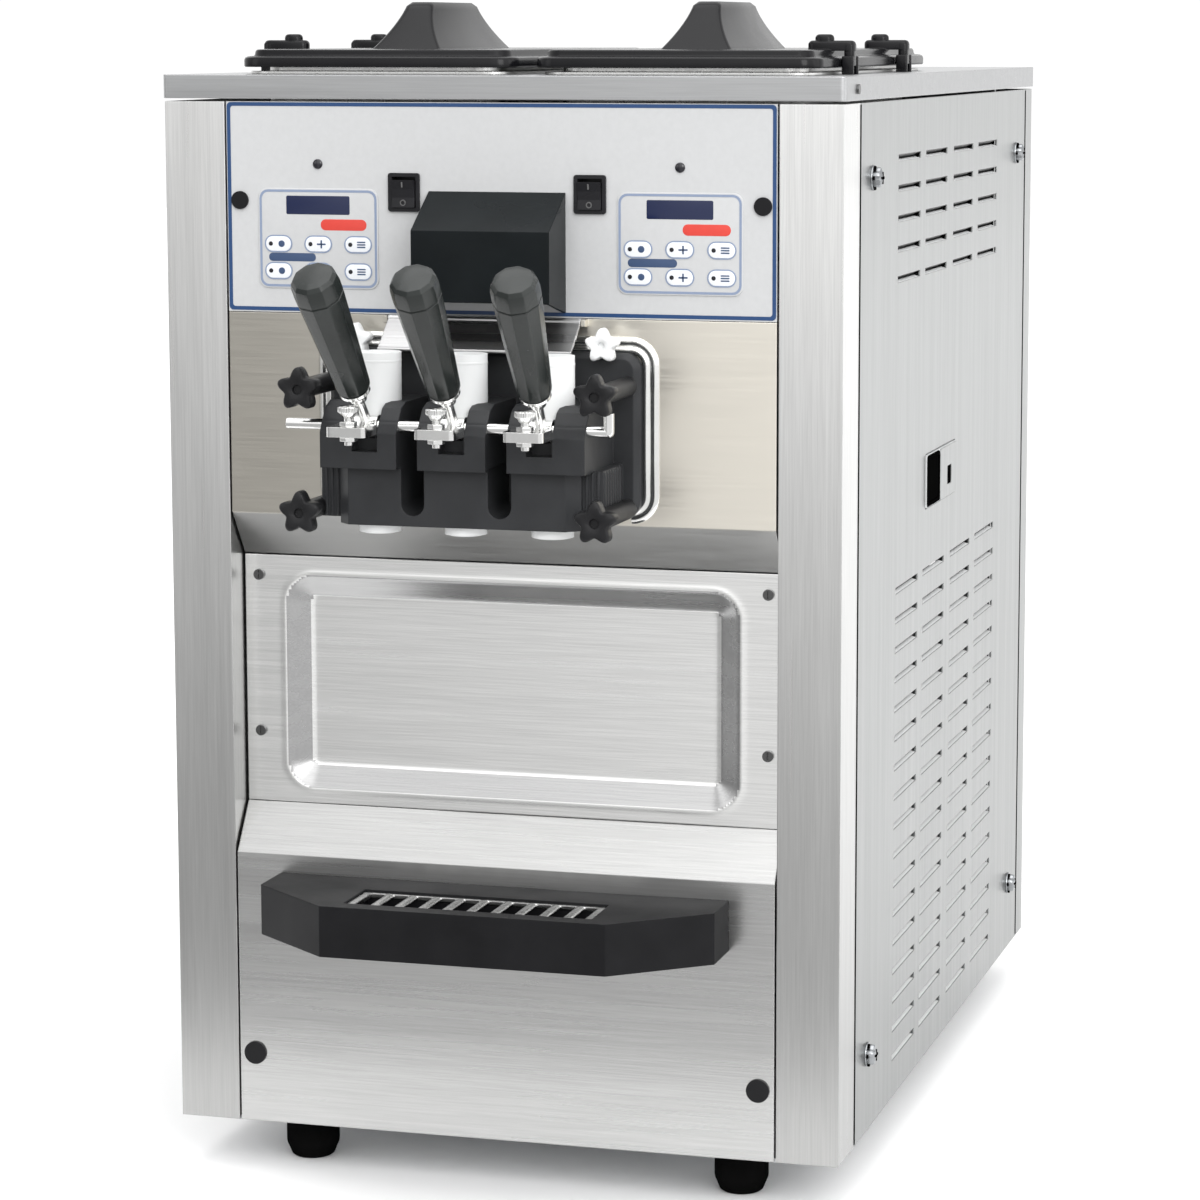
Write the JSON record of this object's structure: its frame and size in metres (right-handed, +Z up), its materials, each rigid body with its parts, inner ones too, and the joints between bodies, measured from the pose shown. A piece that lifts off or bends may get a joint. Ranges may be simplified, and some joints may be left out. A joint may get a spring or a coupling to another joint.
{
  "type": "soft serve machine",
  "caption": "counter-top soft serve freezer with draw levers, star-knobbed dispensing head, twin lidded hoppers, louvred steel cabinet and drip tray",
  "frame": {"origin": "on the floor under the centre of the overall bounding box", "axes": "+X right seen from the front, front faces -Y, +Z up"},
  "size_m": [0.521, 0.9244, 0.868],
  "materials": {
    "steel_skin": "brushed stainless sheet",
    "warm_steel": "brushed stainless sheet, warm tone",
    "fascia_silver": "satin silver overlay with a dark blue border",
    "membrane": "printed polyester membrane",
    "window_tint": "dark navy display window",
    "black_gloss": "black moulded plastic, semi-gloss",
    "black_matte": "black moulded plastic, satin",
    "white_plastic": "white acetal",
    "bright_steel": "polished stainless steel",
    "rubber": "black rubber",
    "galvanised": "galvanised sheet",
    "black_paint": "black enamel",
    "cast_grey": "grey enamelled casting",
    "fin_metal": "thin bare fins",
    "plug_grey": "grey nylon",
    "stainless_inner": "satin stainless pan"
  },
  "bodies": {
    "cabinet": {"base_pan": "galvanised", "rubber_feet": "rubber", "front_corner_posts": "steel_skin", "rear_corner_posts": "steel_skin", "left_side_panel": "steel_skin", "right_side_panel": "steel_skin", "side_thumb_bolts": "bright_steel", "rear_panel": "steel_skin", "power_inlet": "black_matte", "top_deck": "steel_skin", "hoppers": "stainless_inner", "control_fascia": "fascia_silver", "keypads": "membrane", "display_lenses": "window_tint", "hole_plugs": "plug_grey", "rocker_bezels": "black_matte", "switch_cover": "black_matte", "head_plate": "warm_steel", "door_surround": "bright_steel", "splash_panel": "steel_skin", "front_panel_screws": "bright_steel", "lower_front_panel": "steel_skin", "dispensing_head": "black_gloss", "head_gaskets": "rubber", "door_studs": "bright_steel", "nozzle_caps": "white_plastic", "pivot_rod": "bright_steel", "freezing_cylinders": "stainless_inner", "gear_motors": "cast_grey", "bulkhead": "galvanised", "compressor": "black_paint", "condenser": "fin_metal", "fan_motor": "cast_grey", "control_box": "galvanised"},
    "left_lever_body": {"left_lever": "bright_steel", "left_grip": "black_matte"},
    "left_valve_body": {"left_draw_valve": "white_plastic"},
    "middle_lever_body": {"middle_lever": "bright_steel", "middle_grip": "black_matte"},
    "middle_valve_body": {"middle_draw_valve": "white_plastic"},
    "right_lever_body": {"right_lever": "bright_steel", "right_grip": "black_matte"},
    "right_valve_body": {"right_draw_valve": "white_plastic"},
    "left_lower_knob_body": {"left_lower_knob": "black_gloss"},
    "left_upper_knob_body": {"left_upper_knob": "black_gloss"},
    "left_plug_body": {"left_prime_plug": "white_plastic"},
    "left_lid_body": {"left_lid": "black_gloss"},
    "left_rocker_body": {"left_rocker": "black_gloss"},
    "left_beater_body": {"left_beater": "stainless_inner"},
    "right_lower_knob_body": {"right_lower_knob": "black_gloss"},
    "right_upper_knob_body": {"right_upper_knob": "black_gloss"},
    "right_plug_body": {"right_prime_plug": "white_plastic"},
    "right_lid_body": {"right_lid": "black_gloss"},
    "right_rocker_body": {"right_rocker": "black_gloss"},
    "right_beater_body": {"right_beater": "stainless_inner"},
    "paddle_body": {"switch_paddle": "bright_steel"},
    "tray_body": {"drip_tray": "black_matte"},
    "grid_body": {"drip_grid": "bright_steel"},
    "drawer_body": {"seal_drip_drawer": "white_plastic"},
    "fan_body": {"fan": "black_matte"}
  },
  "joints": [
    {"name": "left_lever_pull", "type": "hinge", "parent": "cabinet", "child": "left_lever_body", "pos_m": [-0.072, -0.36331, 0.572], "axis": [1, 0, 0], "range_deg": [0, 50]},
    {"name": "left_valve_lift", "type": "slide", "parent": "cabinet", "child": "left_valve_body", "axis": [0, 0, 1], "range_m": [0, 0.0125]},
    {"name": "middle_lever_pull", "type": "hinge", "parent": "cabinet", "child": "middle_lever_body", "pos_m": [-0.008, -0.36331, 0.572], "axis": [1, 0, 0], "range_deg": [0, 50]},
    {"name": "middle_valve_lift", "type": "slide", "parent": "cabinet", "child": "middle_valve_body", "axis": [0, 0, 1], "range_m": [0, 0.0125]},
    {"name": "right_lever_pull", "type": "hinge", "parent": "cabinet", "child": "right_lever_body", "pos_m": [0.056, -0.36331, 0.572], "axis": [1, 0, 0], "range_deg": [0, 50]},
    {"name": "right_valve_lift", "type": "slide", "parent": "cabinet", "child": "right_valve_body", "axis": [0, 0, 1], "range_m": [0, 0.0125]},
    {"name": "left_lower_knob_turn", "type": "hinge", "parent": "cabinet", "child": "left_lower_knob_body", "pos_m": [-0.116, -0.37932, 0.511], "axis": [0, 1, 0], "continuous": true},
    {"name": "left_upper_knob_turn", "type": "hinge", "parent": "cabinet", "child": "left_upper_knob_body", "pos_m": [-0.116, -0.37932, 0.598], "axis": [0, 1, 0], "continuous": true},
    {"name": "left_prime_plug_pull", "type": "slide", "parent": "cabinet", "child": "left_plug_body", "axis": [0, -1, 0], "range_m": [0, 0.008]},
    {"name": "left_lid_open", "type": "hinge", "parent": "cabinet", "child": "left_lid_body", "pos_m": [-0.225, -0.14932, 0.824], "axis": [0, -1, 0], "range_deg": [0, 100]},
    {"name": "left_rocker_tip", "type": "hinge", "parent": "cabinet", "child": "left_rocker_body", "pos_m": [-0.0693, -0.28731, 0.732], "axis": [1, 0, 0], "range_deg": [-16, 0]},
    {"name": "left_beater_spin", "type": "hinge", "parent": "cabinet", "child": "left_beater_body", "pos_m": [-0.066, -0.18932, 0.565], "axis": [0, 1, 0], "continuous": true},
    {"name": "right_lower_knob_turn", "type": "hinge", "parent": "cabinet", "child": "right_lower_knob_body", "pos_m": [0.1, -0.37932, 0.511], "axis": [0, 1, 0], "continuous": true},
    {"name": "right_upper_knob_turn", "type": "hinge", "parent": "cabinet", "child": "right_upper_knob_body", "pos_m": [0.1, -0.37932, 0.598], "axis": [0, 1, 0], "continuous": true},
    {"name": "right_prime_plug_pull", "type": "slide", "parent": "cabinet", "child": "right_plug_body", "axis": [0, -1, 0], "range_m": [0, 0.008]},
    {"name": "right_lid_open", "type": "hinge", "parent": "cabinet", "child": "right_lid_body", "pos_m": [0.225, -0.14932, 0.824], "axis": [0, 1, 0], "range_deg": [0, 100]},
    {"name": "right_rocker_tip", "type": "hinge", "parent": "cabinet", "child": "right_rocker_body", "pos_m": [0.0693, -0.28731, 0.732], "axis": [1, 0, 0], "range_deg": [-16, 0]},
    {"name": "right_beater_spin", "type": "hinge", "parent": "cabinet", "child": "right_beater_body", "pos_m": [0.05, -0.18932, 0.565], "axis": [0, 1, 0], "continuous": true},
    {"name": "paddle_lift", "type": "hinge", "parent": "cabinet", "child": "paddle_body", "pos_m": [-0.008, -0.29431, 0.642], "axis": [-1, 0, 0], "range_deg": [0, 6], "stiffness_Nm_per_rad": 0.5},
    {"name": "drip_tray_slide", "type": "slide", "parent": "cabinet", "child": "tray_body", "axis": [0, -1, 0], "range_m": [0, 0.1]},
    {"name": "drip_grid_lift", "type": "slide", "parent": "tray_body", "child": "grid_body", "axis": [0, 0, 1], "range_m": [0, 0.05]},
    {"name": "drawer_slide", "type": "slide", "parent": "cabinet", "child": "drawer_body", "axis": [1, 0, 0], "range_m": [0, 0.19]},
    {"name": "fan_spin", "type": "hinge", "parent": "cabinet", "child": "fan_body", "pos_m": [0.16, 0.15069, 0.238], "axis": [1, 0, 0], "continuous": true}
  ],
  "couplings": [
    {"joint": "left_valve_lift", "follows": "left_lever_pull", "m_per_rad": 0.014},
    {"joint": "middle_valve_lift", "follows": "middle_lever_pull", "m_per_rad": 0.014},
    {"joint": "right_valve_lift", "follows": "right_lever_pull", "m_per_rad": 0.014}
  ]
}
